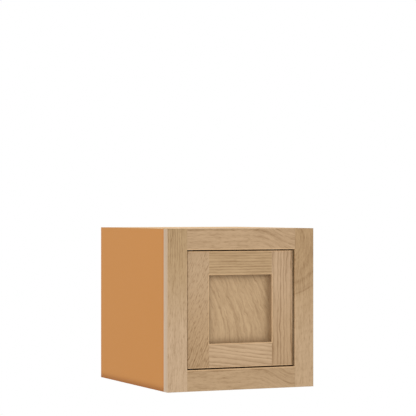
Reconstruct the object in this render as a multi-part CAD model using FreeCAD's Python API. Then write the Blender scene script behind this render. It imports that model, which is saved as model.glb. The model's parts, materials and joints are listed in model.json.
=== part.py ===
import FreeCAD, Part
import math
import os

# Small hanging wall cabinet with a face frame and one inset, five-piece door.
# The frame and door are solid oak, the box is plywood. Millimetres.
# X runs to the right as you face the door, Y towards the wall, Z up.
# The origin is on the wall plane, midway across the cabinet, level with its bottom edge.

V = FreeCAD.Vector
Y_AXIS = V(0, 1, 0)
Z_AXIS = V(0, 0, 1)

# ---------------------------------------------------------------------------
# Driving dimensions
# ---------------------------------------------------------------------------

# Box, 12 in wide, 12 in high, 13 in deep behind the face frame
cabinet_width = 304.8
cabinet_height = 304.8
box_depth = 330.2
side_thickness = 12.7
top_thickness = 12.7
bottom_thickness = 12.7
back_thickness = 6.35
side_joint_depth = 6.35      # depth of the rabbets, dados and grooves in the sides
top_groove_depth = 6.35      # groove under the top that takes the back
back_slip = 0.4              # play of the back in its grooves, each edge

# Hanging rails, between the back and the wall
hang_rail_thickness = 19.05
hang_rail_height = 63.5
wall_hole_radius = 2.5
wall_hole_spacing_x = 152.4
lower_wall_hole_drop = 11.5  # lower pair, below the lower rail's upper edge
upper_wall_hole_rise = 26.6  # upper pair, above the upper rail's lower edge

# Face frame
frame_thickness = 19.05
frame_stile_width = 40.0
frame_rail_height = 40.0
edge_ease = 0.7              # sanded arrises of the frame and the door

# Dowels between the box and the face frame
dowel_radius = 3.0
dowel_length = 24.0
dowel_end_room = 0.5         # glue room at each end of a dowel
dowel_slack = 0.05           # radial
side_dowel_inset = 62.0      # outer side dowels from the cabinet's top and bottom
rail_dowel_offset = 45.0     # top and bottom dowels from the cabinet's middle

# Pocket screws, of the frame's rails and of the hanging rails
pocket_angle = 15.0
pocket_radius = 4.75
frame_pocket_seat = 14.0     # from the joint back to the screw's seat, along the screw
frame_screw_length = 30.0
hang_pocket_seat = 16.0
hang_screw_length = 25.0     # stays inside the thin side
pocket_reach = 60.0          # how far the pocket drill runs back from the seat
pocket_screw_radius = 1.9
pocket_head_radius = 4.2
pocket_head_height = 2.4
pocket_row_inset = 10.0      # screw rows from the edges of a face-frame rail
hang_rail_row_inset = 14.0   # screw rows from the edges of a hanging rail
screw_slack = 0.05           # radial play of a screw in its hole
screw_tip = 4.0              # pointed length of every screw

# Door
door_gap = 2.4               # all round, between the door and the frame
door_setback = 4.76          # door face behind the frame's face
door_thickness = 22.2
door_stile_width = 44.5
door_rail_height = 45.4
panel_recess = 12.7          # panel face behind the door's face
panel_thickness = 5.2
panel_slip = 0.05            # play of the panel in the groove, each face
door_groove_depth = 11.0
panel_engagement = 8.0       # how far the panel reaches into the grooves
tenon_end_room = 0.3
spacer_length = 12.0
spacer_inset = 30.0          # outer spacers from the panel opening's corners

# Knife hinges, let into the door's ends and the frame's rails
pivot_from_edge = 8.5        # pivot in from the door's hinge edge
pivot_from_face = 6.0        # pivot behind the door's face
leaf_width = 8.0
leaf_thickness = 2.4
leaf_reach = 32.0            # from the pivot to the far end of a leaf
leaf_slack = 0.05            # outline play of a leaf in its mortise
pin_radius = 1.6
pin_clearance = 0.05
pin_end_room = 0.2
washer_radius = 3.6
washer_play = 0.05           # each face
leaf_screw_first = 12.0      # screws from the pivot
leaf_screw_second = 26.0
leaf_screw_length = 16.0
leaf_screw_radius = 1.4
leaf_screw_head_radius = 2.8
leaf_screw_head_depth = 1.8

# Push latch
latch_width = 15.0
latch_height = 16.0
latch_length = 50.0
latch_wall = 2.4
latch_flange_reach = 9.0     # each side of the housing
latch_flange_thickness = 2.5
latch_flange_length = 16.0
plunger_radius = 4.5
plunger_clearance = 0.1
plunger_guide = 22.0         # length of the plunger inside the housing
plunger_proud = 6.0          # plunger out of the housing, with its magnet
plunger_travel = 3.0
plunger_end_room = 0.5       # behind the plunger when it is pressed fully in
magnet_radius = 3.4
magnet_depth = 3.4
magnet_proud = 0.4
magnet_slack = 0.05
strike_clearance = 0.3
strike_width = 32.0
strike_height = 10.0
strike_thickness = 1.2
strike_screw_spacing = 22.0
spring_radius = 2.3          # to the wire's centre
spring_wire = 0.5
spring_turns = 8
spring_pocket_radius = 3.2
spring_end_room = 0.1
latch_block_width = 36.0
latch_block_length = 62.0
latch_block_screw_length = 30.0

# Door stop
stop_cover = 8.0             # how far the stop reaches in behind the door's edge
stop_thickness = 12.7
bumper_radius = 5.0
bumper_thickness = 2.0
bumper_gap = 2.6             # room for the door to be pushed in
bumper_inset = 20.0          # from the stop's ends

# ---------------------------------------------------------------------------
# Places worked out from the dimensions
# ---------------------------------------------------------------------------

right = cabinet_width / 2
left = -right
top = cabinet_height
frame_back = -box_depth
frame_front = frame_back - frame_thickness
frame_middle = frame_back - frame_thickness / 2

inside_right = right - side_thickness
inside_left = -inside_right
joint_right = inside_right + side_joint_depth
ceiling = top - top_thickness
floor_top = frame_rail_height
floor_under = floor_top - bottom_thickness
back_rear = -hang_rail_thickness
back_front = back_rear - back_thickness

opening_right = right - frame_stile_width
opening_left = -opening_right
opening_bottom = frame_rail_height
opening_top = top - frame_rail_height

door_left = opening_left + door_gap
door_right = opening_right - door_gap
door_bottom = opening_bottom + door_gap
door_top = opening_top - door_gap
door_front = frame_front + door_setback
door_back = door_front + door_thickness
panel_left = door_left + door_stile_width
panel_right = door_right - door_stile_width
panel_bottom = door_bottom + door_rail_height
panel_top = door_top - door_rail_height
groove_front = door_front + panel_recess - panel_slip
groove_back = groove_front + panel_thickness + 2 * panel_slip

pivot_x = door_left + pivot_from_edge
pivot_y = door_front + pivot_from_face

stop_front = door_back + bumper_gap + bumper_thickness
stop_inner = door_right - stop_cover
bumper_x = (stop_inner + door_right) / 2

strike_face = door_back + strike_thickness
latch_x = stop_inner - latch_block_width / 2
magnet_face = strike_face + strike_clearance
plunger_nose = magnet_face + magnet_proud
latch_front = magnet_face + plunger_proud
latch_rear = latch_front + latch_length
latch_top = opening_top
latch_under = latch_top - latch_height
latch_z = latch_top - latch_height / 2
plunger_rear = latch_front + plunger_guide
spring_seat = plunger_rear - plunger_guide / 2
spring_stop = plunger_rear + plunger_travel + latch_length / 4


# ---------------------------------------------------------------------------
# Shared shapes
# ---------------------------------------------------------------------------

def block(x0, x1, y0, y1, z0, z1):
    """A rectangular block between two positions on each axis, in either order."""
    low = V(min(x0, x1), min(y0, y1), min(z0, z1))
    return Part.makeBox(abs(x1 - x0), abs(y1 - y0), abs(z1 - z0), low)


def group(solids):
    """Separate solids kept together in one node."""
    return Part.makeCompound(solids)


def eased_front(solid, front):
    """Rounds the four front arrises of a block whose face lies at y = front."""
    edges = [e for e in solid.Edges if all(abs(v.Y - front) < 1e-6 for v in e.Vertexes)]
    return solid.makeFillet(edge_ease, edges)


def flare(x0, x1, z0, z1, front):
    """The sanded chamfer round an opening, as a cutter that widens towards y = front."""
    def ring(grow, y):
        points = [
            V(x0 - grow, y, z0 - grow),
            V(x1 + grow, y, z0 - grow),
            V(x1 + grow, y, z1 + grow),
            V(x0 - grow, y, z1 + grow),
        ]
        return Part.makePolygon(points + points[:1])
    deep = ring(0, front + edge_ease)
    wide = ring(edge_ease, front)
    return Part.makeLoft([deep, wide], True, True)


def pointed_shank(radius, length):
    """A screw's shank along +Z from its seat, with a pointed end."""
    straight = length - screw_tip
    shank = Part.makeCylinder(radius, straight)
    point = Part.makeCone(radius, radius * 0.15, screw_tip, V(0, 0, straight))
    return shank.fuse(point).removeSplitter()


def pan_screw(length):
    """Pocket screw: washer head below z = 0, shank along +Z, square drive."""
    head = Part.makeCylinder(pocket_head_radius, pocket_head_height, V(0, 0, -pocket_head_height))
    drive_size = pocket_head_radius * 0.6
    drive = block(-drive_size / 2, drive_size / 2, -drive_size / 2, drive_size / 2,
                  -pocket_head_height, -pocket_head_height * 0.4)
    body = head.fuse(pointed_shank(pocket_screw_radius, length)).removeSplitter()
    return body.cut(drive)


def flat_screw(length):
    """Countersunk screw: flat head at z = 0, driven along +Z, cross drive."""
    head = Part.makeCone(leaf_screw_head_radius, leaf_screw_radius, leaf_screw_head_depth)
    body = head.fuse(pointed_shank(leaf_screw_radius, length)).removeSplitter()
    arm = leaf_screw_head_radius * 0.6
    slot = leaf_screw_head_radius * 0.11
    depth = leaf_screw_head_depth * 0.55
    cross = block(-arm, arm, -slot, slot, 0, depth).fuse(block(-slot, slot, -arm, arm, 0, depth))
    return body.cut(cross)


def flat_screw_hole(length):
    """The countersunk hole that takes flat_screw, a little larger all round."""
    wide = leaf_screw_head_radius + screw_slack
    narrow = leaf_screw_radius + screw_slack
    sink = Part.makeCone(wide, narrow, leaf_screw_head_depth)
    return sink.fuse(Part.makeCylinder(narrow, length + screw_slack))


def placed(shape, point, direction):
    """A copy of a shape made along +Z, moved to a point and turned to a direction."""
    copy = shape.copy()
    copy.Placement = FreeCAD.Placement(point, FreeCAD.Rotation(Z_AXIS, direction))
    return copy


# ---------------------------------------------------------------------------
# Pocket screws: where they are, their holes and the screws themselves
# ---------------------------------------------------------------------------

def pocket_lines(joint_x, face_middle_y, heights):
    """Each pocket screw of a rail as (point on the joint, driving direction), both ends."""
    angle = math.radians(pocket_angle)
    lines = []
    for side in (-1, 1):
        direction = V(side * math.cos(angle), -math.sin(angle), 0)
        for z in heights:
            lines.append((V(side * joint_x, face_middle_y, z), direction))
    return lines


def pocket_holes(lines, seat_back, length):
    """Cutters for the pockets and for the screw's hole on both sides of the joint."""
    cutters = []
    for point, direction in lines:
        seat = point - direction * seat_back
        cutters.append(Part.makeCylinder(pocket_radius, pocket_reach, seat, direction * -1))
        cutters.append(Part.makeCylinder(pocket_screw_radius + screw_slack, length + screw_slack,
                                         seat, direction))
    return cutters


def pocket_screws(lines, seat_back, length):
    """The pocket screws, seated on their shoulders."""
    screw = pan_screw(length)
    return group([placed(screw, p - d * seat_back, d) for p, d in lines])


def frame_rail_lines(rail_bottom):
    heights = [rail_bottom + pocket_row_inset, rail_bottom + frame_rail_height - pocket_row_inset]
    return pocket_lines(opening_right, frame_middle, heights)


def hang_rail_lines(rail_bottom):
    heights = [rail_bottom + hang_rail_row_inset, rail_bottom + hang_rail_height - hang_rail_row_inset]
    return pocket_lines(inside_right, -hang_rail_thickness / 2, heights)


frame_lines = frame_rail_lines(0.0) + frame_rail_lines(opening_top)
hang_lines = hang_rail_lines(0.0) + hang_rail_lines(ceiling - hang_rail_height)


def frame_pocket_holes():
    return pocket_holes(frame_lines, frame_pocket_seat, frame_screw_length)


def hang_pocket_holes():
    return pocket_holes(hang_lines, hang_pocket_seat, hang_screw_length)


# ---------------------------------------------------------------------------
# Dowels between the box and the frame
# ---------------------------------------------------------------------------

def dowel_centres():
    """Centres of the dowels on the joint plane between the box and the frame."""
    side_x = right - side_thickness / 2
    centres = [(side * side_x, z) for side in (-1, 1)
               for z in (side_dowel_inset, top / 2, top - side_dowel_inset)]
    for x in (-rail_dowel_offset, rail_dowel_offset):
        centres.append((x, ceiling + top_thickness / 2))
        centres.append((x, floor_under + bottom_thickness / 2))
    return centres


def rods_on_joint(radius, length):
    """A rod through every dowel's place, half in the box and half in the frame."""
    return [Part.makeCylinder(radius, length, V(x, frame_back - length / 2, z), Y_AXIS)
            for x, z in dowel_centres()]


def dowel_holes():
    return rods_on_joint(dowel_radius + dowel_slack, dowel_length + 2 * dowel_end_room)


def frame_dowels():
    return group(rods_on_joint(dowel_radius, dowel_length))


# ---------------------------------------------------------------------------
# Box
# ---------------------------------------------------------------------------

def side_panel(hand):
    """A side: rabbet for the top, dado for the bottom, groove for the back."""
    inner = hand * inside_right
    joint = hand * joint_right
    panel = block(inner, hand * right, frame_back, 0, 0, top)
    rabbet = block(inner, joint, frame_back, 0, ceiling, top)
    dado = block(inner, joint, frame_back, back_front, floor_under, floor_top)
    groove = block(inner, joint, back_front, back_rear, 0, ceiling)
    return panel.cut([rabbet, dado, groove] + dowel_holes() + hang_pocket_holes())


def top_panel():
    """The top, in the sides' rabbets, grooved underneath for the back."""
    panel = block(-joint_right, joint_right, frame_back, 0, ceiling, top)
    groove = block(-joint_right, joint_right, back_front, back_rear, ceiling,
                   ceiling + top_groove_depth)
    block_holes = [placed(flat_screw_hole(latch_block_screw_length), p, Z_AXIS)
                   for p in latch_block_screw_points()]
    return panel.cut([groove] + dowel_holes() + block_holes)


def bottom_panel():
    """The bottom, in the sides' dados, level with the frame's lower rail."""
    panel = block(-joint_right, joint_right, frame_back, back_front, floor_under, floor_top)
    return panel.cut(dowel_holes())


def wall_hole_cutters():
    """The four screw holes through the hanging rails and the back."""
    depth = hang_rail_thickness + back_thickness
    low = hang_rail_height - lower_wall_hole_drop
    high = ceiling - hang_rail_height + upper_wall_hole_rise
    return [Part.makeCylinder(wall_hole_radius, depth, V(x, 0, z), Y_AXIS * -1)
            for x in (-wall_hole_spacing_x / 2, wall_hole_spacing_x / 2) for z in (low, high)]


def back_panel():
    """The thin back, held in the grooves of the sides and the top."""
    edge = joint_right - back_slip
    panel = block(-edge, edge, back_front, back_rear, 0, ceiling + top_groove_depth - back_slip)
    return panel.cut(wall_hole_cutters())


def hang_rail(rail_bottom):
    """A strip between the sides, flush with the wall, that the wall screws pass through."""
    rail = block(inside_left, inside_right, back_rear, 0, rail_bottom, rail_bottom + hang_rail_height)
    return rail.cut(hang_pocket_holes() + wall_hole_cutters())


# ---------------------------------------------------------------------------
# Face frame
# ---------------------------------------------------------------------------

def frame_member(x0, x1, z0, z1):
    """A face-frame piece, its outer and opening arrises eased, drilled for dowels and screws."""
    whole = eased_front(block(left, right, frame_front, frame_back, 0, top), frame_front)
    piece = block(x0, x1, frame_front, frame_back, z0, z1).common(whole)
    ease = flare(opening_left, opening_right, opening_bottom, opening_top, frame_front)
    return piece.cut([ease] + dowel_holes() + frame_pocket_holes())


def frame_rail_bottom():
    rail = frame_member(opening_left, opening_right, 0, frame_rail_height)
    return rail.cut([leaf_mortise(opening_bottom, -1)] + leaf_screw_holes(opening_bottom, -1))


def frame_rail_top():
    rail = frame_member(opening_left, opening_right, opening_top, top)
    return rail.cut([leaf_mortise(opening_top, 1)] + leaf_screw_holes(opening_top, 1))


# ---------------------------------------------------------------------------
# Door
# ---------------------------------------------------------------------------

def door_envelope():
    """The whole door as a block with its front arrises eased."""
    return eased_front(block(door_left, door_right, door_front, door_back, door_bottom, door_top),
                       door_front)


def door_grooves():
    """Grooves round the panel opening, run the full length of each piece."""
    depth = door_groove_depth
    return [
        block(panel_left - depth, panel_left, groove_front, groove_back, door_bottom, door_top),
        block(panel_right, panel_right + depth, groove_front, groove_back, door_bottom, door_top),
    ]


def door_rail_grooves():
    depth = door_groove_depth
    return [
        block(door_left, door_right, groove_front, groove_back, panel_bottom - depth, panel_bottom),
        block(door_left, door_right, groove_front, groove_back, panel_top, panel_top + depth),
    ]


def door_ease():
    return flare(panel_left, panel_right, panel_bottom, panel_top, door_front)


def door_stile(x0, x1):
    piece = block(x0, x1, door_front, door_back, door_bottom, door_top).common(door_envelope())
    return piece.cut(door_grooves() + [door_ease()] + strike_screw_holes())


def door_stile_left():
    cutters = [leaf_mortise(door_top, -1), leaf_mortise(door_bottom, 1)]
    cutters += leaf_screw_holes(door_top, -1) + leaf_screw_holes(door_bottom, 1)
    return door_stile(door_left, panel_left).cut(cutters)


def door_stile_right():
    return door_stile(panel_right, door_right)


def door_rail(z0, z1):
    """A door rail with a stub tenon at each end, in the stiles' grooves."""
    body = block(panel_left, panel_right, door_front, door_back, z0, z1).common(door_envelope())
    reach = door_groove_depth - tenon_end_room
    tenon = block(panel_left - reach, panel_right + reach, groove_front + panel_slip,
                  groove_back - panel_slip, z0, z1)
    return body.fuse(tenon).cut(door_rail_grooves() + [door_ease()] + strike_screw_holes())


def door_panel():
    grow = panel_engagement
    front = door_front + panel_recess
    return block(panel_left - grow, panel_right + grow, front, front + panel_thickness,
                 panel_bottom - grow, panel_top + grow)


def panel_spacers():
    """Rubber spacers, two to a groove, between the panel's edges and the groove's bottom."""
    inner = panel_engagement
    outer = door_groove_depth
    front = door_front + panel_recess
    back = front + panel_thickness
    pieces = []
    for start in (panel_bottom + spacer_inset, panel_top - spacer_inset - spacer_length):
        end = start + spacer_length
        pieces.append(block(panel_left - outer, panel_left - inner, front, back, start, end))
        pieces.append(block(panel_right + inner, panel_right + outer, front, back, start, end))
    for start in (panel_left + spacer_inset, panel_right - spacer_inset - spacer_length):
        end = start + spacer_length
        pieces.append(block(start, end, front, back, panel_bottom - outer, panel_bottom - inner))
        pieces.append(block(start, end, front, back, panel_top + inner, panel_top + outer))
    return group(pieces)


# ---------------------------------------------------------------------------
# Knife hinges
# ---------------------------------------------------------------------------

def leaf_outline(z, grow, thickness):
    """A straight leaf with a round end about the pivot, rising from z by thickness."""
    radius = leaf_width / 2 + grow
    round_end = Part.makeCylinder(radius, thickness, V(pivot_x, pivot_y, z))
    bar = block(pivot_x, pivot_x + leaf_reach + grow, pivot_y - radius, pivot_y + radius,
                z, z + thickness)
    return round_end.fuse(bar).removeSplitter()


def leaf_mortise(surface, inward):
    """The recess for a leaf in the wood whose surface is at this height."""
    low = min(surface, surface + inward * leaf_thickness)
    return leaf_outline(low, leaf_slack, leaf_thickness)


def leaf_screw_xs():
    return [pivot_x + leaf_screw_first, pivot_x + leaf_screw_second]


def leaf_screw_holes(surface, inward):
    hole = flat_screw_hole(leaf_screw_length)
    return [placed(hole, V(x, pivot_y, surface), Z_AXIS * inward) for x in leaf_screw_xs()]


def leaf_screws(surface, inward):
    screw = flat_screw(leaf_screw_length)
    return [placed(screw, V(x, pivot_y, surface), Z_AXIS * inward) for x in leaf_screw_xs()]


def hinge_leaf(surface, inward, pin_direction):
    """A leaf flush with its surface. It carries a riveted pin, or has the hole for one."""
    low = min(surface, surface + inward * leaf_thickness)
    leaf = leaf_outline(low, 0, leaf_thickness).cut(leaf_screw_holes(surface, inward))
    if pin_direction:
        length = door_gap + leaf_thickness - pin_end_room
        pin = Part.makeCylinder(pin_radius, length, V(pivot_x, pivot_y, surface),
                                Z_AXIS * pin_direction)
        return leaf.fuse(pin).removeSplitter()
    hole = Part.makeCylinder(pin_radius + pin_clearance, leaf_thickness, V(pivot_x, pivot_y, low))
    return leaf.cut(hole)


def hinge_washer(low):
    """The washer on the pin, in the gap between the two leaves."""
    height = door_gap - 2 * washer_play
    base = V(pivot_x, pivot_y, low + washer_play)
    disc = Part.makeCylinder(washer_radius, height, base)
    return disc.cut(Part.makeCylinder(pin_radius + pin_clearance, height, base))


# ---------------------------------------------------------------------------
# Push latch, its block and its strike
# ---------------------------------------------------------------------------

def latch_block_screw_points():
    """Heads of the block's screws, on the block's lower face, outside the latch."""
    y = latch_front + latch_block_length / 2
    offset = latch_width / 2 + latch_flange_reach / 2
    return [V(latch_x - offset, y + latch_flange_length, opening_top),
            V(latch_x + offset, y + latch_flange_length, opening_top)]


def latch_screw_points():
    """Screws through the flanges, driven up into the block."""
    y = latch_front + latch_flange_length / 2
    offset = latch_width / 2 + latch_flange_reach / 2
    return [V(latch_x - offset, y, latch_top - latch_flange_thickness),
            V(latch_x + offset, y, latch_top - latch_flange_thickness)]


def latch_block():
    """Wood block under the top, level with the upper edge of the door opening."""
    half = latch_block_width / 2
    wood = block(latch_x - half, latch_x + half, latch_front, latch_front + latch_block_length,
                 opening_top, ceiling)
    holes = [placed(flat_screw_hole(latch_block_screw_length), p, Z_AXIS)
             for p in latch_block_screw_points()]
    holes += [placed(flat_screw_hole(leaf_screw_length), p, Z_AXIS) for p in latch_screw_points()]
    return wood.cut(holes)


def latch_body():
    """Housing with flanges, bored for the plunger and, behind it, for the spring."""
    half = latch_width / 2
    housing = block(latch_x - half, latch_x + half, latch_front, latch_rear, latch_under, latch_top)
    long_edges = [e for e in housing.Edges
                  if abs(e.Vertexes[0].Y - e.Vertexes[1].Y) > 1 and e.Vertexes[0].Z < latch_z]
    housing = housing.makeFillet(latch_wall, long_edges)
    reach = half + latch_flange_reach
    flange = block(latch_x - reach, latch_x + reach, latch_front,
                   latch_front + latch_flange_length, latch_top - latch_flange_thickness, latch_top)
    upright = [e for e in flange.Edges if abs(e.Vertexes[0].Z - e.Vertexes[1].Z) > 1]
    flange = flange.makeFillet(latch_wall, upright)
    bore_depth = plunger_rear + plunger_travel + plunger_end_room - latch_front
    bore = Part.makeCylinder(plunger_radius + plunger_clearance, bore_depth,
                             V(latch_x, latch_front, latch_z), Y_AXIS)
    spring_bore = Part.makeCylinder(spring_pocket_radius, spring_stop - latch_front,
                                    V(latch_x, latch_front, latch_z), Y_AXIS)
    holes = [placed(flat_screw_hole(leaf_screw_length), p, Z_AXIS) for p in latch_screw_points()]
    return housing.fuse(flange).removeSplitter().cut([bore, spring_bore] + holes)


def latch_screws():
    screw = flat_screw(leaf_screw_length)
    return group([placed(screw, p, Z_AXIS) for p in latch_screw_points()])


def latch_block_screws():
    screw = flat_screw(latch_block_screw_length)
    return group([placed(screw, p, Z_AXIS) for p in latch_block_screw_points()])


def latch_plunger():
    """The sprung plunger: a pocket in its nose for the magnet, one behind for the spring."""
    body = Part.makeCylinder(plunger_radius, plunger_rear - plunger_nose,
                             V(latch_x, plunger_nose, latch_z), Y_AXIS)
    magnet_pocket = Part.makeCylinder(magnet_radius + magnet_slack, magnet_depth,
                                      V(latch_x, plunger_nose, latch_z), Y_AXIS)
    spring_pocket = Part.makeCylinder(spring_pocket_radius, plunger_rear - spring_seat,
                                      V(latch_x, spring_seat, latch_z), Y_AXIS)
    return body.cut([magnet_pocket, spring_pocket])


def latch_magnet():
    return Part.makeCylinder(magnet_radius, magnet_proud + magnet_depth,
                             V(latch_x, magnet_face, latch_z), Y_AXIS)


def latch_spring():
    """Compression spring between the plunger's pocket and the housing's end."""
    room = spring_end_room + spring_wire / 2
    start = spring_seat + room
    length = spring_stop - room - start
    helix = Part.makeHelix(length / spring_turns, length, spring_radius)
    circle = Part.makeCircle(spring_wire / 2, V(spring_radius, 0, 0), Y_AXIS)
    coil = Part.Wire(helix.Edges).makePipeShell([Part.Wire([circle])], True, True)
    return placed(Part.Solid(coil), V(latch_x, start, latch_z), Y_AXIS)


def strike_screw_points():
    return [V(latch_x + side * strike_screw_spacing / 2, strike_face, latch_z) for side in (-1, 1)]


def strike_screw_holes():
    hole = flat_screw_hole(leaf_screw_length)
    return [placed(hole, p, Y_AXIS * -1) for p in strike_screw_points()]


def latch_strike():
    """Steel plate on the door's back that the magnet holds."""
    plate = block(latch_x - strike_width / 2, latch_x + strike_width / 2, door_back, strike_face,
                  latch_z - strike_height / 2, latch_z + strike_height / 2)
    corners = [e for e in plate.Edges if abs(e.Vertexes[0].Y - e.Vertexes[1].Y) > 1]
    plate = plate.makeFillet(strike_height / 4, corners)
    return plate.cut(strike_screw_holes())


def strike_screws():
    screw = flat_screw(leaf_screw_length)
    return group([placed(screw, p, Y_AXIS * -1) for p in strike_screw_points()])


# ---------------------------------------------------------------------------
# Door stop
# ---------------------------------------------------------------------------

def door_stop():
    """Upright strip on the right side, behind the door's free edge."""
    return block(stop_inner, inside_right, stop_front, stop_front + stop_thickness,
                 floor_top, ceiling)


def door_bumpers():
    """Soft domed pads on the stop."""
    pads = []
    for z in (door_bottom + bumper_inset, door_top - bumper_inset):
        base = V(bumper_x, stop_front, z)
        pad = Part.makeCylinder(bumper_radius, bumper_thickness, base, Y_AXIS * -1)
        rim = [e for e in pad.Edges if e.CenterOfMass.y < stop_front - bumper_thickness + 1e-6]
        pads.append(pad.makeFillet(bumper_thickness * 0.45, rim))
    return group(pads)


# ---------------------------------------------------------------------------
# All pieces
# ---------------------------------------------------------------------------

pieces = {
    "side_left": side_panel(-1),
    "side_right": side_panel(1),
    "top_panel": top_panel(),
    "bottom_panel": bottom_panel(),
    "back_panel": back_panel(),
    "hang_rail_upper": hang_rail(ceiling - hang_rail_height),
    "hang_rail_lower": hang_rail(0.0),
    "hang_rail_screws": pocket_screws(hang_lines, hang_pocket_seat, hang_screw_length),
    "frame_stile_left": frame_member(left, opening_left, 0, top),
    "frame_stile_right": frame_member(opening_right, right, 0, top),
    "frame_rail_top": frame_rail_top(),
    "frame_rail_bottom": frame_rail_bottom(),
    "frame_pocket_screws": pocket_screws(frame_lines, frame_pocket_seat, frame_screw_length),
    "frame_dowels": frame_dowels(),
    "door_stile_left": door_stile_left(),
    "door_stile_right": door_stile_right(),
    "door_rail_top": door_rail(panel_top, door_top),
    "door_rail_bottom": door_rail(door_bottom, panel_bottom),
    "door_panel": door_panel(),
    "panel_spacers": panel_spacers(),
    "hinge_upper_frame_leaf": hinge_leaf(opening_top, 1, 0),
    "hinge_upper_door_leaf": hinge_leaf(door_top, -1, 1),
    "hinge_upper_washer": hinge_washer(door_top),
    "hinge_lower_frame_leaf": hinge_leaf(opening_bottom, -1, 1),
    "hinge_lower_door_leaf": hinge_leaf(door_bottom, 1, 0),
    "hinge_lower_washer": hinge_washer(opening_bottom),
    "hinge_frame_screws": group(leaf_screws(opening_top, 1) + leaf_screws(opening_bottom, -1)),
    "hinge_door_screws": group(leaf_screws(door_top, -1) + leaf_screws(door_bottom, 1)),
    "door_stop": door_stop(),
    "door_bumpers": door_bumpers(),
    "latch_block": latch_block(),
    "latch_block_screws": latch_block_screws(),
    "latch_body": latch_body(),
    "latch_plunger": latch_plunger(),
    "latch_magnet": latch_magnet(),
    "latch_spring": latch_spring(),
    "latch_screws": latch_screws(),
    "latch_strike": latch_strike(),
    "strike_screws": strike_screws(),
}

os.makedirs("parts", exist_ok=True)
for name, shape in pieces.items():
    solids = shape.Solids
    if not shape.isValid() or not solids:
        print("not a valid solid:", name)
    one_solid = solids[0] if len(solids) == 1 else Part.makeCompound(solids)
    one_solid.exportStep("parts/" + name + ".step")
    print(name, len(solids), round(shape.Volume, 1))
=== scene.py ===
import json
import math

import bmesh
import bpy
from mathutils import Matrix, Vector


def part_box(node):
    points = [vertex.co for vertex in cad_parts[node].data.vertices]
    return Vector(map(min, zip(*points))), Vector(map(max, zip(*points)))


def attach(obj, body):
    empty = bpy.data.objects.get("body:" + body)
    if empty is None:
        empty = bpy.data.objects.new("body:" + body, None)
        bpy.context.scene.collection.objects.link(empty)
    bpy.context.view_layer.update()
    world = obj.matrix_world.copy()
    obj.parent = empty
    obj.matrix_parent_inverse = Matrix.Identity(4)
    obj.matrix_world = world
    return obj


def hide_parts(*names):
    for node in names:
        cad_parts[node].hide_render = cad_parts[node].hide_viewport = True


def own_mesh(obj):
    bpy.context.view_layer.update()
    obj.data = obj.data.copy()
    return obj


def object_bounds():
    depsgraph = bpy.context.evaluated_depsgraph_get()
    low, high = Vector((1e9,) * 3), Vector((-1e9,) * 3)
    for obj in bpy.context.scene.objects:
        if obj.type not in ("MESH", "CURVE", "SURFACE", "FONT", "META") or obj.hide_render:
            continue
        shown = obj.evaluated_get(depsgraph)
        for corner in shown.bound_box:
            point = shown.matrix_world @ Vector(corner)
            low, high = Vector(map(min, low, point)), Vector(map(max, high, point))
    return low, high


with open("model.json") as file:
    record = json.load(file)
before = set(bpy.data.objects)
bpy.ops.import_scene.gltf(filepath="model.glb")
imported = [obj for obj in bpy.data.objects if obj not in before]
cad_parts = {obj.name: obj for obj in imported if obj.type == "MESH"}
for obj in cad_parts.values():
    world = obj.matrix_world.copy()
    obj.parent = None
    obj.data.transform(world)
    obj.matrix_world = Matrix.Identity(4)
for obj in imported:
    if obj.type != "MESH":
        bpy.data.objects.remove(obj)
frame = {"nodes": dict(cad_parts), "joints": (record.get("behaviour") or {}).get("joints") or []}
cad_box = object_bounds()

# ---------------------------------------------------------------------------
# Sides of the box
# Half-inch plywood, coated orange-tan outside and lined with pale maple laminate inside.
# Rabbeted, dadoed and grooved, glued to the top and bottom, with the cut edges left raw.
# ---------------------------------------------------------------------------

MM = 1000.0                      # millimetres in a metre
PLY_SKIN = 0.7                   # thickness of the coated or laminated face, mm
PLY_LAYER = 1.5                  # thickness of one core layer, mm
LAYER_BLUR = 0.05                # half the blur between two layers, mm
FRONT_TINT = 9.0                 # width of the deeper coat along the front edge, mm
FOOT_SHADE = 19.0                 # height of the painted shade along the lower edge, mm


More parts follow.
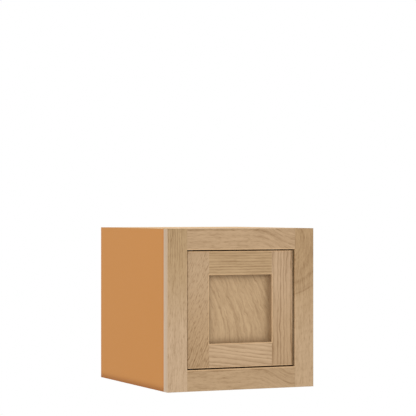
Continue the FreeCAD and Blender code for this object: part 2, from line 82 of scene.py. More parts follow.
class Shade:
    """A value, colour or vector in a material. Arithmetic on values adds Math nodes."""

    def __init__(self, material, socket):
        self.material = material
        self.socket = socket

    def node(self, kind, settings, sockets, output=0):
        """Adds a node: its settings first, then the value or link of each socket."""
        tree = self.material.node_tree
        made = tree.nodes.new("ShaderNode" + kind)
        for key, value in settings.items():
            setattr(made, key, value)
        for key, value in sockets.items():
            if isinstance(value, Shade):
                tree.links.new(value.socket, made.inputs[key])
            else:
                made.inputs[key].default_value = value
        return Shade(self.material, made.outputs[output])

    def math(self, operation, first, second=0.0):
        return self.node("Math", {"operation": operation}, {0: first, 1: second})

    def __add__(self, other):
        return self.math("ADD", self, other)

    def __sub__(self, other):
        return self.math("SUBTRACT", self, other)

    def __rsub__(self, other):
        return self.math("SUBTRACT", other, self)

    def __mul__(self, other):
        return self.math("MULTIPLY", self, other)

    def __truediv__(self, other):
        return self.math("DIVIDE", self, other)

    def __pow__(self, other):
        return self.math("POWER", self, other)

    def __abs__(self):
        return self.math("ABSOLUTE", self)

    __radd__ = __add__
    __rmul__ = __mul__

    def fraction(self):
        return self.math("FRACT", self)

    def larger(self, other):
        return self.math("MAXIMUM", self, other)

    def smaller(self, other):
        return self.math("MINIMUM", self, other)

    def rising(self, start, end):
        """0 up to start, 1 from end, smooth between. With start above end it falls."""
        return self.node("MapRange", {"interpolation_type": "SMOOTHSTEP"},
                         {"Value": self, "From Min": start, "From Max": end})

    def past(self, layer_edge):
        """0 before the edge of a layer, 1 behind it, for a depth in mm."""
        return self.rising(layer_edge - LAYER_BLUR, layer_edge + LAYER_BLUR)

    def between(self, low, high):
        """The colour at this share of the way from one colour to another."""
        share, first, second, result = 0, 6, 7, 2     # where a Mix node keeps its colours
        return self.node("Mix", {"data_type": "RGBA"},
                         {share: self, first: low, second: high}, result)

    def cloud(self, detail=2.0, roughness=0.5):
        """Noise from 0 to 1 at this place, about one lump to each unit."""
        return self.node("TexNoise", {}, {"Vector": self, "Scale": 1.0, "Detail": detail,
                                          "Roughness": roughness})


def joined(x, y, z):
    """A vector from three values, of which the first has to be a Shade."""
    return x.node("CombineXYZ", {}, {0: x, 1: y, 2: z})


def dye(red, green, blue):
    """A colour given 0 to 255 a channel, as the linear colour that shaders take."""
    return (*[((c / 255 + 0.055) / 1.055) ** 2.4 for c in (red, green, blue)], 1.0)


def new_finish(name):
    """An empty material's place on the piece: X, Y and Z in millimetres."""
    material = bpy.data.materials.new(name)
    material.use_nodes = True
    place = Shade(material, None).node("TexCoord", {}, {}, "Object")
    scaled = place.node("VectorMath", {"operation": "SCALE"}, {0: place, "Scale": MM})
    return [scaled.node("SeparateXYZ", {}, {0: scaled}, axis) for axis in "XYZ"]


def finish(colour, roughness, height, relief, **fixed):
    """Puts a recipe on its material, with height times relief in mm as its bump. Fixed
    values go straight on the shader."""
    shader = colour.material.node_tree.nodes["Principled BSDF"]
    link = colour.material.node_tree.links.new
    bump = height.node("Bump", {}, {"Height": height, "Distance": relief / MM}, "Normal")
    link(colour.socket, shader.inputs["Base Color"])
    link(roughness.socket, shader.inputs["Roughness"])
    link(bump.socket, shader.inputs["Normal"])
    for name, value in fixed.items():
        shader.inputs[name.replace("_", " ")].default_value = value
    return colour.material


def dress(node, material):
    """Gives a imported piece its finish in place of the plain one."""
    for slot in frame["nodes"][node].material_slots:
        slot.material = material


def maple_laminate(length, width):
    """Printed maple: straight soft grain along the length."""
    figure = joined(length * 0.004, width * 0.09, 3.0).cloud(3.0, 0.6)
    fibre = joined(length * 0.03, width * 1.4, 8.0).cloud(2.0)
    tone = (figure * 0.7 + fibre * 0.3).rising(0.3, 0.72)
    return tone.between(dye(231, 209, 172), dye(204, 176, 134))


def ply_core(depth, along, across):
    """The cut edge of the sheet: crossed layers, one end-grained, the next long-grained."""
    layer = (depth / (2 * PLY_LAYER)).fraction()
    crossed = abs(layer - 0.5).rising(0.21, 0.29)
    fibre = joined(along * 0.06, across * 0.06, depth * 2.0).cloud(3.0, 0.6)
    ends = joined(along * 1.6, across * 1.6, depth * 1.6).cloud(2.0)
    light = fibre.between(dye(219, 184, 138), dye(190, 150, 104))
    dark = ends.between(dye(176, 134, 90), dye(134, 94, 58))
    return crossed.between(light, dark)


def ply_edges(depth, thickness, outer, core, inner):
    """Layers by depth from the outer face: outer skin, core, inner skin."""
    with_core = depth.past(PLY_SKIN).between(outer, core)
    return depth.past(thickness - PLY_SKIN).between(with_core, inner)


def side_finish(node, outer_x, inward):
    """Orange-tan coat on the face at outer_x, a little deeper at its front edge and darkened by
    painted shade along its lower edge.
    inward is 1 or -1, the way from that face into the sheet."""
    low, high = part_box(node)
    thickness = (high.x - low.x) * MM
    x, y, z = new_finish(node + "_ply")
    depth = (x - outer_x * MM) * inward
    front = (y - low.y * MM).rising(FRONT_TINT, 0.0)
    foot_shade = z.rising(FOOT_SHADE, 0.0)
    height_share = z / (high.z * MM)
    speckle = joined(y * 0.9, z * 0.9, 1.0).cloud(2.0, 0.7)
    drift = joined(y * 0.01, z * 0.012, 5.0).cloud(2.0)
    coat = (drift * 0.4 + height_share * 0.6).between(dye(186, 127, 66), dye(188, 130, 70))
    coat = (front * 0.7).between(coat, dye(186, 116, 47))
    # painted shade: the coat darkened along its lower edge
    coat = (foot_shade * foot_shade * 0.75).between(coat, dye(138, 82, 34))
    coat = ((speckle - 0.5) * 0.9 + 0.12).rising(0.0, 1.0).between(coat, dye(178, 118, 60))
    colour = ply_edges(depth, thickness, coat, ply_core(depth, y, z), maple_laminate(z, y))
    raw = depth.past(PLY_SKIN)
    grit = joined(x * 1.5, y * 1.5, z * 1.5).cloud(3.0)
    return finish(colour, raw * 0.25 + speckle * 0.1 + 0.5, grit * raw + speckle * 0.15, 0.12,
                  Specular_IOR_Level=0.08)


dress("side_left", side_finish("side_left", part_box("side_left")[0].x, 1.0))
dress("side_right", side_finish("side_right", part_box("side_right")[1].x, -1.0))

# ---------------------------------------------------------------------------
# Top, bottom and back of the box
# The same plywood, with maple laminate inside and raw birch veneer outside. The top sits
# in the sides' rabbets, the bottom in their dados, the thin back in grooves all round.
# ---------------------------------------------------------------------------

VENEER_SWAY = 120.0              # how far the figure wanders, mm
VENEER_LINE = 23.0               # between its faint lines, mm


def raw_veneer(length, width):
    """Peeled birch veneer: soft wandering figure, fine fibre, pale brown flecks."""
    sway = joined(length * 0.0045, width * 0.009, 2.0).cloud(3.0, 0.55) * VENEER_SWAY
    figure = joined((width + sway) * 0.055, length * 0.0015, 6.0).cloud(3.0, 0.6)
    line = abs(((width + sway) / VENEER_LINE).fraction() - 0.5).rising(0.06, 0.0)
    fibre = joined(length * 0.035, width * 0.9, 4.0).cloud(3.0, 0.6)
    fleck = joined(length * 0.25, width * 1.8, 7.0).cloud(1.0).rising(0.66, 0.74)
    tone = (figure - 0.5) * 0.9 + line * 0.12 + fibre * 0.6 + fleck * 0.35
    return tone.rising(0.05, 0.95).between(dye(220, 183, 134), dye(186, 144, 96))


def sheet_finish(node, depth_axis, raw_on_high, length_axis, width_axis):
    """A sheet whose thickness runs on one axis, its raw face on the high or the low side."""
    low, high = [getattr(corner, depth_axis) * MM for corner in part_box(node)]
    place = dict(zip("xyz", new_finish(node + "_ply")))
    depth = high - place[depth_axis] if raw_on_high else place[depth_axis] - low
    length, width = place[length_axis], place[width_axis]
    core = ply_core(depth, length, width)
    colour = ply_edges(depth, high - low, raw_veneer(length, width), core,
                       maple_laminate(length, width))
    inner = depth.past(high - low - PLY_SKIN)
    grit = joined(place["x"] * 1.5, place["y"] * 1.5, place["z"] * 1.5).cloud(3.0)
    return finish(colour, 0.72 - inner * 0.25 + grit * 0.06, grit * (1 - inner), 0.12)


dress("top_panel", sheet_finish("top_panel", "z", True, "x", "y"))
dress("bottom_panel", sheet_finish("bottom_panel", "z", False, "x", "y"))
dress("back_panel", sheet_finish("back_panel", "y", True, "x", "z"))

# ---------------------------------------------------------------------------
# Hanging rails
# Planed pine strips behind the back, flush with the wall edge of the sides, pocket-screwed
# and glued between them. The wall screws go through them.
# ---------------------------------------------------------------------------

PINE_LINE = 5.5                  # between late-wood lines, mm


def pine(name, axes, seed, knot_place):
    """Planed softwood: thin amber late-wood lines that swell round a small knot.
    axes are those of its length, width and depth. knot_place is on its length, in mm."""
    place = dict(zip("xyz", new_finish(name)))
    length, width, depth = [place[axis] for axis in axes]
    sway = joined(length * 0.006, width * 0.02, seed).cloud(2.0) * 30.0
    swell = joined(length * 0.03, width * 0.08, seed + 4.0).cloud(1.0) * 3.0
    ring = ((width + depth * 0.7 + sway + swell) / PINE_LINE).fraction()
    late = ring.rising(0.55, 0.93) * ring.rising(1.0, 0.95)
    fibre = joined(length * 0.03, width * 1.5, depth * 1.5 + seed).cloud(3.0, 0.6)
    from_knot = joined((length - knot_place) * 0.05, width * 0.09, depth * 0.05)
    knot = from_knot.node("VectorMath", {"operation": "LENGTH"}, {0: from_knot}, "Value")
    knot = knot.rising(0.36, 0.2)
    wood = (late * 0.6 + fibre * 0.3).between(dye(232, 200, 147), dye(196, 143, 84))
    colour = (knot * 0.85).between(wood, dye(134, 84, 44))
    return finish(colour, 0.7 - late * 0.1 + fibre * 0.08, fibre * 0.6 - late * 0.3, 0.15)


dress("hang_rail_upper", pine("hanging_rail_pine", "xzy", seed=2.0, knot_place=46.0))
dress("hang_rail_lower", pine("lower_hanging_rail_pine", "xzy", seed=-1.5, knot_place=-34.5))

# ---------------------------------------------------------------------------
# Screws of the hanging rails
# Washer-head pocket screws, zinc-plated steel, sunk in drilled pockets behind the rails.
# ---------------------------------------------------------------------------


def zinc_plate(name):
    """Zinc plating: a cold grey bloom over bright metal, scuffed where a bit has turned."""
    x, y, z = new_finish(name)
    bloom = joined(x * 0.35, y * 0.35, z * 0.35).cloud(3.0, 0.6)
    scuff = joined(x * 2.4, y * 0.5, z * 2.4).cloud(2.0).rising(0.52, 0.7)
    colour = bloom.rising(0.3, 0.7).between(dye(206, 208, 210), dye(160, 158, 150))
    rough = bloom * 0.3 + scuff * 0.12 + 0.2
    return finish(colour, rough, scuff + bloom * 0.3, 0.03, Metallic=1.0)


zinc = zinc_plate("zinc_plated_steel")
dress("hang_rail_screws", zinc)

# ---------------------------------------------------------------------------
# Face-frame stiles
# Raw sanded oak, 3/4 in thick, full height, glued and dowelled to the front of the box.
# The left one is straight-grained at its top, the right one has a crown running out of it.
# ---------------------------------------------------------------------------

OAK_DARK = dye(126, 92, 51)      # pores and growth lines at their darkest
OAK_ARRIS_HIGHLIGHT = dye(224, 186, 140)   # painted highlight along the arrises
OAK_PAINTED_SHADE = dye(100, 73, 35)      # painted shade on edges in the gaps and in the panel's corners
OAK_SHEEN = dye(184, 156, 125)  # painted sheen on the frame's outer side faces, at the front
OAK_SHEEN_BACK = dye(188, 168, 147)  # and at the back
ON_EDGE = (0.4, 0.2)             # how near an edge its finish starts and is full, mm
EDGE_BLUR = 0.8                  # depth over which the edge's brown comes in, mm
HIGHLIGHT_WIDTH = (2.4, 0.72)        # where the painted highlight on the arrises starts and is full, from the front, mm
HIGHLIGHT_DEPTH = (1.8, 1.2)         # the same from the side, mm
NEAR_OPENING = (2.0, 1.0)        # the frame's inner edges, which get no painted sheen, mm
OUT_OF_SIGHT = 5.0               # how deep the door hides the edge behind it, where painted shade in the gap starts, mm
GRAIN_SLANT = 0.6                # mm the growth lines move across for each mm of depth


class Board:
    """A board's coordinates in mm: length along it, width across its face from the middle,
    depth behind its face. ends is 1 on the end grain."""

    def __init__(self, node, upright):
        low, high = [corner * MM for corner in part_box(node)]
        self.x, self.y, self.z = new_finish(node + "_oak")
        along, across = (self.z, self.x) if upright else (self.x, self.z)
        start, end = (low.z, high.z) if upright else (low.x, high.x)
        near, far = (low.x, high.x) if upright else (low.z, high.z)
        self.length = along - start
        self.width = across - (near + far) / 2
        self.depth = self.y - low.y
        self.half_width = (far - near) / 2
        self.full_length = end - start
        self.thickness = high.y - low.y
        self.ends = self.length.smaller(self.full_length - self.length).rising(*ON_EDGE)

    def outside(self, low, high):
        """Distance in mm outside a rectangle on the front, less than 0 inside it."""
        across = (low[0] - self.x).larger(self.x - high[0])
        return across.larger((low[1] - self.z).larger(self.z - high[1]))

    def arris_highlight(self, away):
        """1 along a front edge, where the distance away from it is small: the mask of a painted
        highlight.
        """
        return away.rising(*HIGHLIGHT_WIDTH) * self.depth.rising(*HIGHLIGHT_DEPTH)

    def edge(self, away, start):
        """1 on a square edge, from a depth in mm behind the face: the mask of painted shade."""
        return away.rising(*ON_EDGE) * self.depth.rising(start, start + EDGE_BLUR)


def growth_field(board, seed, wander, side, slope, shift, crown):
    """How far a place on the board is from the tree's heart at side, and the field whose
    levels are the growth lines: that distance, or the distance from the crown if it has one."""
    length, width = board.length, board.width
    start, end, amount = shift
    drift = joined(length * 0.016, width * 0.03, seed).cloud(2.0) * wander
    waves = joined(length * 0.055, width * 0.1, seed + 3.0).cloud(1.0) * (wander * 0.45)
    lean = width - side - length * slope + length.rising(start, end) * amount + drift + waves
    lean = lean + board.depth * GRAIN_SLANT
    if crown is None:
        return lean, lean
    rise = length - crown
    return lean, (lean * lean + rise * rise) ** 0.5


def oak(board, seed, ring, lines, side, wander, flecks, streaks, pale, far=None, slope=0.0,
        shift=(0.0, 1.0, 0.0), crown=None, clouds=0.35, fade=None, band=None, marks=(),
        painted_shade=None, arris_highlight=None, side_sheen=None):
    """Flatsawn oak. Its growth lines follow the tree's heart at side, slanted by slope and
    shifted over a stretch of the length, or they circle a crown on the length. ring is their
    spacing and wander their waviness, in mm. lines, flecks, streaks and clouds are strengths.
    fade is the stretch over which the lines come in. band holds where darker wood starts and
    is full, and its strength. Each mark is one dark line: its place, half-width and strength.
    The ground is pale at the start of the board and turns to far. The last three are masks
    of the edges: painted shade in the gaps and the panel's corners, a painted highlight along
    the arrises, and a painted sheen on the frame's outer side faces."""
    length, width, depth = board.length, board.width, board.depth
    lean, field = growth_field(board, seed, wander, side, slope, shift, crown)

    # One year's growth: dark where the porous early wood falls off and comes in again.
    uneven = joined(field * (0.45 / ring), seed, 2.0).cloud(2.0) * 2.2
    season = (field / ring + uneven).fraction()
    porous = season.rising(0.62, 0.0) * 0.75 + season.rising(0.86, 1.0) * 0.75
    vigour = joined(field * (0.9 / ring), length * 0.006, seed + 7.0).cloud(1.0)
    vigour = vigour.rising(0.25, 0.75)

    # Fine figure along the grain: streaks, short open pores, flecks of ray, broad clouds.
    streak = joined(length * 0.022, lean * 0.2, depth * 0.3 + seed).cloud(4.0, 0.78)
    dashes = joined(length * 0.07, lean * 2.1, depth * 2.1 + seed).cloud(1.0)
    pores = dashes.rising(0.52, 0.68) * (porous * 0.7 + 0.3)
    fleck = joined(length * 0.1, lean * 0.48, seed + 9.0).cloud(3.0, 0.6).rising(0.48, 0.68)
    cloud = joined(length * 0.018, width * 0.04, seed + 5.0).cloud(2.0)

    drawn = porous * (vigour + 0.35) * lines
    if fade is not None:
        drawn = drawn * (length.rising(*fade) * 0.85 + 0.15)
    if band is not None:
        band_start, band_full, band_strength = band
        patch = (field + streak * 2.0).rising(band_start, band_full)
        drawn = drawn * (patch * 0.9 + 0.1) + patch * band_strength
    for value, half_width, strength in marks:
        near = abs(field + streak * 3.0 - value).rising(half_width, 0.0)
        drawn = drawn + near * (streak * strength)
    tone = drawn + (streak - 0.5) * streaks + pores * 0.3 + (fleck - 0.4) * flecks
    tone = tone + (cloud - 0.5) * clouds + board.ends * (porous * 0.3 + 0.3)

    ground = pale
    if far is not None:
        turned = length / board.full_length + (streak - 0.5) * 0.4
        ground = turned.rising(0.25, 0.85).between(pale, far)
    colour = (tone + 0.12).rising(-0.35, 1.25).between(ground, OAK_DARK)
    # Painted sheen: the outer side faces lighter and paler, as lit from the side.
    if side_sheen is not None:
        sheen_colour = (depth / board.thickness).between(OAK_SHEEN, OAK_SHEEN_BACK)
        colour = (side_sheen * (1.1 - streak * 0.6)).between(colour, sheen_colour)
    # Painted shade: edges in the gaps and the panel's corners darkened.
    if painted_shade is not None:
        colour = (painted_shade * 0.4).between(colour, OAK_PAINTED_SHADE)
    # Painted highlight along the arrises.
    if arris_highlight is not None:
        colour = (arris_highlight * 0.6).between(colour, OAK_ARRIS_HIGHLIGHT)
    rough = 0.6 + pores * 0.15 + streak * 0.08
    return finish(colour, rough, 1 - pores * 0.8 - drawn * 0.25 + streak * 0.15, 0.12)


rail_low, rail_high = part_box("frame_rail_top")
OPENING_LOW = (rail_low.x * MM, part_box("frame_rail_bottom")[1].z * MM)
OPENING_HIGH = (rail_high.x * MM, rail_low.z * MM)


def frame_oak(node, upright, clean, **figure):
    """A face-frame board, with painted shade on its edge in the opening and a painted sheen on
    its outer edge. clean is the strength of the painted highlight along its arrises at the
    opening."""
    board = Board(node, upright)
    away = board.outside(OPENING_LOW, OPENING_HIGH)
    outer = (board.half_width - abs(board.width)).rising(*ON_EDGE)
    side_sheen = outer * (1 - away.rising(*NEAR_OPENING)) * (1 - board.ends)
    # painted highlight on the opening's arrises, painted shade deep in the opening, painted sheen
    # outside
    dress(node, oak(board, arris_highlight=board.arris_highlight(away) * clean,
                    painted_shade=board.edge(away, OUT_OF_SIGHT), side_sheen=side_sheen, **figure))


frame_oak("frame_stile_left", upright=True, clean=0.1, seed=11.0, ring=4.6, lines=0.55,
          side=-200.0, wander=4.0, flecks=0.35, streaks=1.5, fade=(225.0, 275.0),
          pale=dye(194, 165, 132), far=dye(180, 150, 110))
frame_oak("frame_stile_right", upright=True, clean=0.3, seed=23.0, ring=12.0, lines=0.24,
          side=-38.0, wander=6.0, flecks=0.35, streaks=1.5, crown=280.0, band=(108.0, 104.0, 0.1),
          marks=((105.0, 3.0, 0.7), (84.0, 4.0, 0.45), (66.0, 4.0, 0.45), (44.0, 4.0, 0.5)),
          pale=dye(188, 158, 122), far=dye(178, 146, 106))

# ---------------------------------------------------------------------------
# Face-frame rails
# Raw sanded oak between the stiles, pocket-screwed and glued. Both come from one board, so
# each shows the same darker tongue of figure running out at its right end.
# ---------------------------------------------------------------------------

for node, seed, pale in (("frame_rail_top", 31.0, dye(185, 154, 118)),
                         ("frame_rail_bottom", 37.0, dye(181, 150, 113))):
    frame_oak(node, upright=False, clean=1.0, seed=seed, ring=6.5, lines=0.05, side=-120.0,
              wander=4.0, flecks=0.3, streaks=2.0, shift=(148.0, 226.0, 30.0),
              band=(139.0, 141.5, 0.08), marks=((142.0, 2.5, 0.65),), pale=pale)

# ---------------------------------------------------------------------------
# Screws and dowels of the face frame
# Pocket screws pull the rails to the stiles from behind. Fluted beech dowels set the frame
# on the box's front edges.
# ---------------------------------------------------------------------------


def beech():
    """Turned beech: even tan wood full of short dark ray flecks."""
    x, y, z = new_finish("beech_dowel")
    fleck = joined(y * 0.5, x * 2.2, z * 2.2).cloud(1.0).rising(0.6, 0.7)
    fibre = joined(y * 0.05, x * 1.3, z * 1.3).cloud(3.0)
    colour = (fleck * 0.5 + fibre * 0.4).between(dye(214, 176, 132), dye(158, 112, 72))
    return finish(colour, fibre * 0.15 + 0.55, fibre - fleck, 0.08)


dress("frame_pocket_screws", zinc)
dress("frame_dowels", beech())

# ---------------------------------------------------------------------------
# Door stiles and rails
# Raw oak, 7/8 in thick, square-edged. The rails' stub tenons are glued in the grooves of
# the stiles. Each piece is from a different board, so grain and tone change at the joints.
# ---------------------------------------------------------------------------

left_low, left_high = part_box("door_stile_left")
right_low, right_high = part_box("door_stile_right")
DOOR_LOW = (left_low.x * MM, left_low.z * MM)
DOOR_HIGH = (right_high.x * MM, right_high.z * MM)
PANEL_LOW = (left_high.x * MM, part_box("door_rail_bottom")[1].z * MM)
PANEL_HIGH = (right_low.x * MM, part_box("door_rail_top")[0].z * MM)
SHADE_DEPTH = 1.0                 # where painted shade on a door board's edge starts behind its face, mm


def door_oak(node, upright, **figure):
    """A door board, with painted shade on its edges round the panel and the door. Its arrises
    have a painted highlight round the panel and along the door's top and bottom."""
    board = Board(node, upright)
    inner = board.outside(PANEL_LOW, PANEL_HIGH)
    outer = 0 - board.outside(DOOR_LOW, DOOR_HIGH)
    top_or_bottom = (board.z - DOOR_LOW[1]).smaller(DOOR_HIGH[1] - board.z)
    # painted highlight on the arrises, painted shade on the edges in the gaps
    arris_highlight = board.arris_highlight(inner) * 0.8 + board.arris_highlight(top_or_bottom)
    painted_shade = board.edge(inner, SHADE_DEPTH) * 0.4 + board.edge(outer, SHADE_DEPTH)
    dress(node, oak(board, arris_highlight=arris_highlight, painted_shade=painted_shade, **figure))


door_oak("door_stile_left", upright=True, seed=43.0, ring=5.5, lines=0.75, side=-150.0,
         wander=6.0, flecks=0.75, streaks=1.6, slope=0.42, fade=(85.0, 30.0),
         pale=dye(178, 146, 108), far=dye(184, 154, 119))
door_oak("door_stile_right", upright=True, seed=53.0, ring=7.6, lines=0.6, side=-180.0,
         wander=9.0, flecks=0.1, streaks=0.9, pale=dye(190, 158, 121), far=dye(196, 165, 131))
door_oak("door_rail_top", upright=False, seed=61.0, ring=5.2, lines=0.48, side=-120.0,
         wander=2.5, flecks=0.1, streaks=1.1, pale=dye(187, 156, 116))
door_oak("door_rail_bottom", upright=False, seed=71.0, ring=8.0, lines=0.5, side=-140.0,
         wander=4.5, flecks=0.1, streaks=0.7, slope=-0.14, pale=dye(200, 169, 133))

# ---------------------------------------------------------------------------
# Door panel
# A flat oak panel loose in the grooves. Its grain leans to the left as it climbs. Painted
# shade darkens the wood against the frame, most at the left.
# ---------------------------------------------------------------------------

PANEL_SHADE = 14.0              # width of the painted shade all round, mm
PANEL_LEFT_SHADE = 10.0         # width of the darkest painted shade, at the left, mm

panel = Board("door_panel", upright=True)
# painted shade: the panel darker towards the frame, most at the left
corner = panel.outside(PANEL_LOW, PANEL_HIGH).rising(-PANEL_SHADE, 1.0)
left_shade = (PANEL_LOW[0] - panel.x).rising(-PANEL_LEFT_SHADE, 1.0)
dress("door_panel", oak(panel, seed=83.0, ring=14.0, lines=0.24, side=-240.0, wander=16.0,
                        flecks=0.2, streaks=1.5, clouds=0.5, shift=(10.0, 270.0, 85.0),
                        pale=dye(192, 161, 122), painted_shade=corner * 0.9 + left_shade * 0.6))

# ---------------------------------------------------------------------------
# Panel spacers
# Short blocks of black rubber cord in the grooves, which centre the panel and stop rattle.
# ---------------------------------------------------------------------------


def rubber(name, fresh, bloomed, **fixed):
    """Soft rubber with a dusty bloom and a faint skin texture."""
    x, y, z = new_finish(name)
    bloom = joined(x * 0.4, y * 0.4, z * 0.4).cloud(3.0, 0.6)
    skin = joined(x * 3.0, y * 3.0, z * 3.0).cloud(2.0)
    colour = bloom.rising(0.35, 0.75).between(fresh, bloomed)
    return finish(colour, bloom * 0.3 + 0.45, skin, 0.04, **fixed)


dress("panel_spacers", rubber("black_spacer_rubber", dye(26, 26, 27), dye(52, 51, 50)))

# ---------------------------------------------------------------------------
# Knife hinges
# Browned brass leaves let flush into the ends of the door and the frame's rails, with a
# riveted pin and a black nylon washer between each pair. Countersunk screws to match.
# ---------------------------------------------------------------------------


def browned_brass():
    """Brass dipped to a dark brown, rubbed through a little along the drawn lines."""
    x, y, z = new_finish("browned_brass")
    drawn = joined(x * 0.08, y * 3.0, z * 3.0).cloud(2.0)
    patch = joined(x * 0.12, y * 0.3, z * 0.3).cloud(3.0, 0.6)
    rubbed = (drawn * 0.5 + patch * 0.5).rising(0.52, 0.68)
    browned = patch.rising(0.3, 0.7).between(dye(64, 48, 36), dye(88, 66, 46))
    colour = (rubbed * 0.5).between(browned, dye(158, 122, 72))
    return finish(colour, drawn * 0.15 + 0.38 - rubbed * 0.08, drawn, 0.02, Metallic=1.0)


def nylon(name, clean, stained):
    """Moulded nylon: a little stained and finely textured."""
    x, y, z = new_finish(name)
    stain = joined(x * 0.2, y * 0.2, z * 0.2).cloud(2.0)
    spark = joined(x * 4.0, y * 4.0, z * 4.0).cloud(1.0)
    colour = stain.rising(0.3, 0.75).between(clean, stained)
    return finish(colour, spark * 0.15 + 0.38, spark, 0.03,
                  Subsurface_Weight=0.1, Subsurface_Scale=0.002)


brass = browned_brass()
washer_nylon = nylon("washer_nylon", dye(38, 36, 34), dye(62, 59, 55))
for place in ("upper", "lower"):
    dress("hinge_" + place + "_frame_leaf", brass)
    dress("hinge_" + place + "_door_leaf", brass)
    dress("hinge_" + place + "_washer", washer_nylon)
dress("hinge_frame_screws", brass)
dress("hinge_door_screws", brass)

# ---------------------------------------------------------------------------
# Door stop and bumpers
# A pine strip glued to the right side behind the door's free edge, with two clear soft pads.
# ---------------------------------------------------------------------------

dress("door_stop", pine("door_stop_pine", "zxy", seed=6.0, knot_place=138.0))
dress("door_bumpers", rubber("clear_bumper_rubber", dye(214, 214, 208), dye(190, 189, 180),
                             Subsurface_Weight=0.4, Subsurface_Scale=0.004))

# ---------------------------------------------------------------------------
# Push latch
# A pine block screwed under the top carries a moulded housing. Its sprung plunger has a
# plated magnet in the nose, which holds the zinc-plated strike on the door's back.
# ---------------------------------------------------------------------------

dress("latch_block", pine("latch_block_pine", "yxz", seed=-9.0, knot_place=-207.0))
dress("latch_block_screws", zinc)
dress("latch_body", nylon("latch_housing_plastic", dye(196, 192, 181), dye(176, 171, 158)))
dress("latch_screws", zinc)
dress("latch_plunger", nylon("latch_plunger_plastic", dye(224, 221, 210), dye(200, 195, 181)))
dress("latch_strike", zinc)
dress("strike_screws", zinc)


def nickel():
    """Bright nickel on a magnet's face, dulled by the strike's taps."""
    x, y, z = new_finish("nickel_plated_magnet")
    taps = joined(x * 1.2, y * 1.2, z * 1.2).cloud(3.0, 0.7).rising(0.45, 0.7)
    colour = taps.between(dye(214, 210, 202), dye(164, 160, 152))
    return finish(colour, taps * 0.25 + 0.16, taps, 0.03, Metallic=1.0)


dress("latch_magnet", nickel())

# ---------------------------------------------------------------------------
# Latch spring
# Zinc-plated wire with a closed coil at each end, between the plunger's pocket and the
# housing's end.
# ---------------------------------------------------------------------------

SPRING_WIRE = 0.5 / MM           # thickness, m
SPRING_LIVE_TURNS = 7
CLOSED_SPACING = 1.05            # of the end coils, in thicknesses of the wire
SPRING_STEPS = 28                # mesh steps in one turn
WIRE_SIDES = 10                  # mesh faces round the wire

spring_low, spring_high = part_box("latch_spring")
coil_radius = (spring_high.x - spring_low.x - SPRING_WIRE) / 2
coil_middle = (spring_low + spring_high) / 2
first_coil = Vector((coil_middle.x, spring_low.y + SPRING_WIRE / 2, coil_middle.z))
closed_pitch = SPRING_WIRE * CLOSED_SPACING
live_length = spring_high.y - spring_low.y - SPRING_WIRE - 2 * closed_pitch
live_pitch = live_length / SPRING_LIVE_TURNS

shape = bmesh.new()
rings = []
for step in range((SPRING_LIVE_TURNS + 2) * SPRING_STEPS + 1):
    turn = step / SPRING_STEPS
    live = min(max(turn - 1, 0), SPRING_LIVE_TURNS)
    outward = Vector((math.cos(math.tau * turn), 0, math.sin(math.tau * turn)))
    centre = first_coil + outward * coil_radius
    centre.y += (turn - live) * closed_pitch + live * live_pitch
    ring = []
    for side in range(WIRE_SIDES):
        angle = math.tau * side / WIRE_SIDES
        offset = outward * math.cos(angle) + Vector((0, math.sin(angle), 0))
        ring.append(shape.verts.new(centre + offset * (SPRING_WIRE / 2)))
    rings.append(ring)
for before, after in zip(rings, rings[1:]):
    for side in range(WIRE_SIDES):
        following = (side + 1) % WIRE_SIDES
        face = shape.faces.new((before[side], before[following], after[following], after[side]))
        face.smooth = True
shape.faces.new(rings[0])
shape.faces.new(rings[-1])
bmesh.ops.recalc_face_normals(shape, faces=shape.faces)
coil = bpy.data.meshes.new("latch_coil_spring")
shape.to_mesh(coil)
shape.free()
coil.materials.append(zinc)
spring = bpy.data.objects.new("latch_coil_spring", coil)
bpy.context.scene.collection.objects.link(spring)

push = next(joint for joint in frame["joints"] if joint["name"] == "latch_push")
travel = push["range_m"][1] - push["range_m"][0]
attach(spring, "cabinet")
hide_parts("latch_spring")
1 - travel / (spring_high.y - spring_low.y)
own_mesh(spring)

# ---------------------------------------------------------------------------
# Studio
# The cabinet hangs at its usual height over a plain pale floor, in even white light from all
# round and two soft lamps. The camera stands off its left front corner, just above its top.
# ---------------------------------------------------------------------------

FLOOR_DROP = 1.37                # floor below the cabinet's bottom edge, m
FLOOR_REACH = 5.0                # half the floor's width, m
FLOOR_FADE = (0.98, 0.45)        # shares of the reach where the floor is gone and is solid


def pale_floor():
    """Painted floor, white with the faintest clouding, which fades into the white room."""
    x, y = new_finish("pale_floor_paint")[:2]
    cloud = joined(x * 0.002, y * 0.002, 1.0).cloud(3.0)
    away = (x * x + y * y) ** 0.5 / (FLOOR_REACH * MM)
    colour = cloud.between(dye(250, 250, 249), dye(245, 245, 244))
    paint = finish(colour, cloud * 0.1 + 0.7, cloud, 0.5)
    shader = paint.node_tree.nodes["Principled BSDF"]
    paint.node_tree.links.new(away.rising(*FLOOR_FADE).socket, shader.inputs["Alpha"])
    return paint


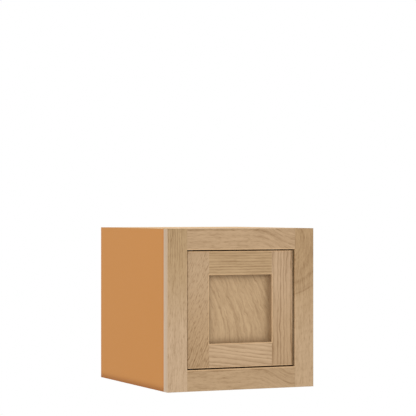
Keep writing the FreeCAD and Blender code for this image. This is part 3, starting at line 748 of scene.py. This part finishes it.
floor_mesh = bpy.data.meshes.new("floor")
corners = [(x * FLOOR_REACH, y * FLOOR_REACH, 0) for x, y in ((-1, -1), (1, -1), (1, 1), (-1, 1))]
floor_mesh.from_pydata(corners, [], [(0, 1, 2, 3)])
floor_mesh.materials.append(pale_floor())
floor = bpy.data.objects.new("floor", floor_mesh)
floor.location = (0, 0, cad_box[0].z - FLOOR_DROP)
bpy.context.scene.collection.objects.link(floor)

world = bpy.data.worlds.new("studio")
world.use_nodes = True
background = world.node_tree.nodes["Background"]
background.inputs["Color"].default_value = (1, 1, 1, 1)
background.inputs["Strength"].default_value = 1.0
bpy.context.scene.world = world

middle = (cad_box[0] + cad_box[1]) / 2


def soft_lamp(name, place, size, power):
    """A square soft box that faces the cabinet, its place in m from the cabinet's middle."""
    lamp = bpy.data.objects.new(name, bpy.data.lights.new(name, "AREA"))
    lamp.data.size = size
    lamp.data.energy = power
    lamp.location = middle + Vector(place)
    lamp.rotation_euler = (middle - lamp.location).to_track_quat("-Z", "Y").to_euler()
    bpy.context.scene.collection.objects.link(lamp)


soft_lamp("front_lamp", place=(-1.2, -2.6, 1.6), size=1.6, power=14.0)
soft_lamp("side_lamp", place=(-2.6, 0.4, 1.2), size=1.4, power=8.0)

CAMERA_TURN = 24.08              # how far it looks to the right of square-on, degrees
CAMERA_LENS = 156.7              # mm
CAMERA_SENSOR = 36.0             # mm
CAMERA_FROM_CORNER = (-1.3045, -3.1030, 0.3377)   # from the cabinet's low left front corner, m
CAMERA_SHIFT = 0.007452          # upwards, as a share of the view's width

camera = bpy.data.objects.new("camera", bpy.data.cameras.new("camera"))
camera.data.lens = CAMERA_LENS
camera.data.sensor_width = CAMERA_SENSOR
camera.data.shift_y = CAMERA_SHIFT
camera.location = cad_box[0] + Vector(CAMERA_FROM_CORNER)
camera.rotation_euler = (math.radians(90), 0, math.radians(-CAMERA_TURN))
bpy.context.scene.collection.objects.link(camera)
bpy.context.scene.camera = camera
bpy.context.scene.view_settings.view_transform = "Standard"
